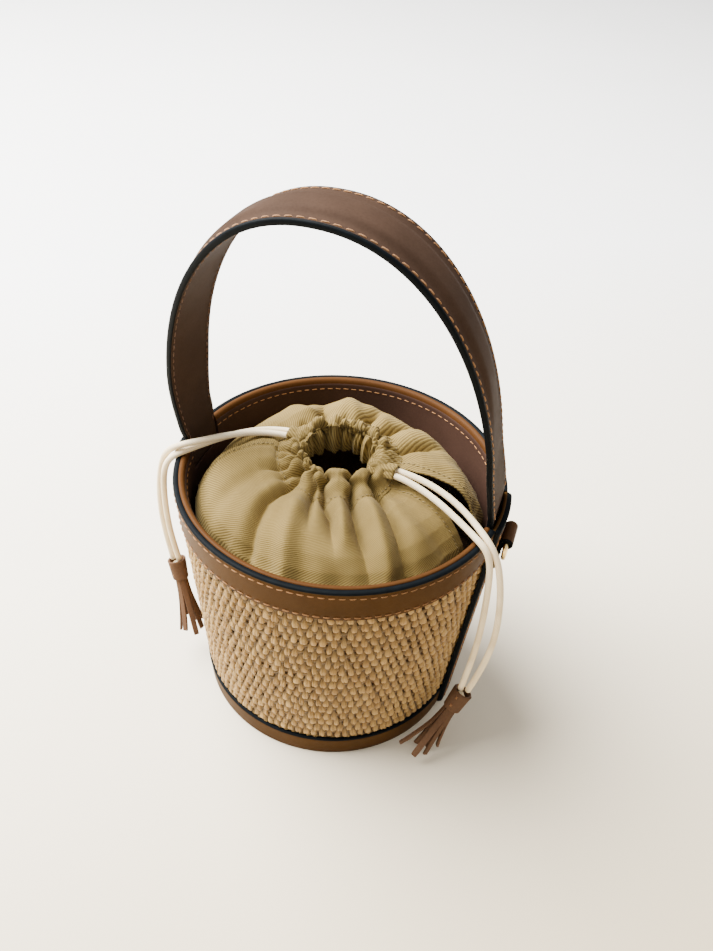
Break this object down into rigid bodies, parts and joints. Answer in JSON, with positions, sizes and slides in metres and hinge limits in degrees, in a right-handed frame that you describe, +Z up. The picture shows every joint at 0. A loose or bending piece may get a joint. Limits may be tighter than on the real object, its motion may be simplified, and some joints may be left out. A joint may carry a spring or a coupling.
{
  "type": "bucket bag",
  "caption": "Round bucket bag: woven raffia wall between leather bands, arched leather handle, drawstring cloth pouch, tasselled cords and side rings.",
  "frame": {"origin": "centre of the base, on the floor", "axes": "+Z up, +X across the handle towards the bag's right side ring, -Y towards the front"},
  "size_m": [0.2073, 0.18, 0.3191],
  "materials": {
    "leather": "vegetable-tanned brown leather, satin, light creases",
    "leather_light": "smooth brown leather of the handle and fittings",
    "leather_dark": "dark brown facing leather, matte",
    "raffia": "crocheted raffia straw, dry, cream to tan",
    "board": "grey-brown stiffening board",
    "lining": "dark navy cotton lining",
    "cotton": "khaki cotton twill, matte",
    "cord": "cream cotton cord, twisted",
    "brass": "pale gold plated, polished"
  },
  "bodies": {
    "bag": {"base_leather": "leather", "base_board": "board", "base_band": "leather", "base_lining": "lining", "raffia_front": "raffia", "raffia_back": "raffia", "stiffener": "board", "body_lining": "lining", "top_band_front": "leather", "top_band_back": "leather", "rim_reinforcement": "board", "rim_facing": "leather_dark", "side_strip_left": "leather", "side_strip_right": "leather", "handle_end_left": "leather_light", "handle_end_right": "leather_light", "strap_tab_left": "leather", "strap_tab_right": "leather", "pouch_front": "cotton", "pouch_back": "cotton", "pouch_channel": "cotton", "cord_left_outer": "cord", "cord_left_inner": "cord", "cord_right_outer": "cord", "cord_right_inner": "cord"},
    "handle": {"handle_cover": "leather_light", "handle_core": "board", "handle_lining": "leather_light"},
    "strap_ring_left": {"strap_ring_left": "brass"},
    "strap_ring_right": {"strap_ring_right": "brass"},
    "tassel_left": {"tassel_left_cap": "leather", "tassel_left_knot": "cord", "tassel_left_fringe": "leather"},
    "tassel_right": {"tassel_right_cap": "leather", "tassel_right_knot": "cord", "tassel_right_fringe": "leather"}
  },
  "joints": [
    {"name": "handle_flex", "type": "hinge", "parent": "bag", "child": "handle", "pos_m": [0, 0, 0.155], "axis": [1, 0, 0], "range_deg": [-48, 12]},
    {"name": "strap_ring_left_swing", "type": "hinge", "parent": "bag", "child": "strap_ring_left", "pos_m": [-0.095, 0, 0.139], "axis": [0, 1, 0], "range_deg": [0, 95]},
    {"name": "strap_ring_right_swing", "type": "hinge", "parent": "bag", "child": "strap_ring_right", "pos_m": [0.095, 0, 0.139], "axis": [0, -1, 0], "range_deg": [0, 95]},
    {"name": "tassel_left_swing", "type": "hinge", "parent": "bag", "child": "tassel_left", "pos_m": [-0.097, -0.0205, 0.0655], "axis": [0.6039, 0.7971, 0], "range_deg": [0, 32]},
    {"name": "tassel_right_swing", "type": "hinge", "parent": "bag", "child": "tassel_right", "pos_m": [0.0919, -0.038, 0.048], "axis": [-0.7375, 0.6754, 0], "range_deg": [0, 11]}
  ]
}
